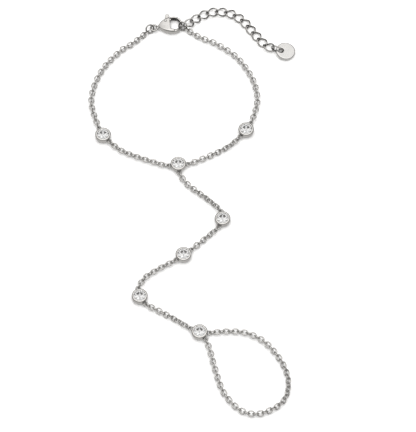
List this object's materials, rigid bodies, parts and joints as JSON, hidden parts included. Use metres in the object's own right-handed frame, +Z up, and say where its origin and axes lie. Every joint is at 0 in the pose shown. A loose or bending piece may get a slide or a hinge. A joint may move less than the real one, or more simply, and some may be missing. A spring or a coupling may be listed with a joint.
{
  "type": "hand chain bracelet",
  "caption": "Hand chain: a wrist loop of fine cable chain, round bezel-set stations down the hand, a finger loop, lobster clasp, curb extender and round tag.",
  "frame": {"origin": "centre of the underside of the middle wrist bezel, on the surface that the bracelet lies on", "axes": "+X to the right in the picture, +Y from the finger loop to the clasp, +Z up from the surface"},
  "size_m": [0.0676, 0.1513, 0.0031],
  "materials": {
    "steel": "polished",
    "crystal": "clear, faceted"
  },
  "bodies": {
    "bracelet": {"wrist_chain_left": "steel", "wrist_chain_front_left": "steel", "wrist_chain_front_right": "steel", "wrist_chain_right": "steel", "hand_chain_1": "steel", "hand_chain_2": "steel", "hand_chain_3": "steel", "hand_chain_4": "steel", "finger_chain": "steel", "bezel_1": "steel", "bezel_2": "steel", "bezel_3": "steel", "bezel_4": "steel", "bezel_5": "steel", "bezel_6": "steel", "bezel_7": "steel", "stone_1": "crystal", "stone_2": "crystal", "stone_3": "crystal", "stone_4": "crystal", "stone_5": "crystal", "stone_6": "crystal", "stone_7": "crystal", "clasp_body": "steel", "clasp_pin": "steel", "clasp_jump_ring": "steel", "end_jump_ring": "steel", "extender_chain": "steel", "tag_link": "steel", "tag": "steel"},
    "lever": {"clasp_lever": "steel"}
  },
  "joints": [
    {"name": "lever_hinge", "type": "hinge", "parent": "bracelet", "child": "lever", "pos_m": [-0.00444, 0.05473, 0.0011], "axis": [0, 0, -1], "range_deg": [0, 22], "stiffness_Nm_per_rad": 0.004, "springref_deg": -8.59}
  ]
}
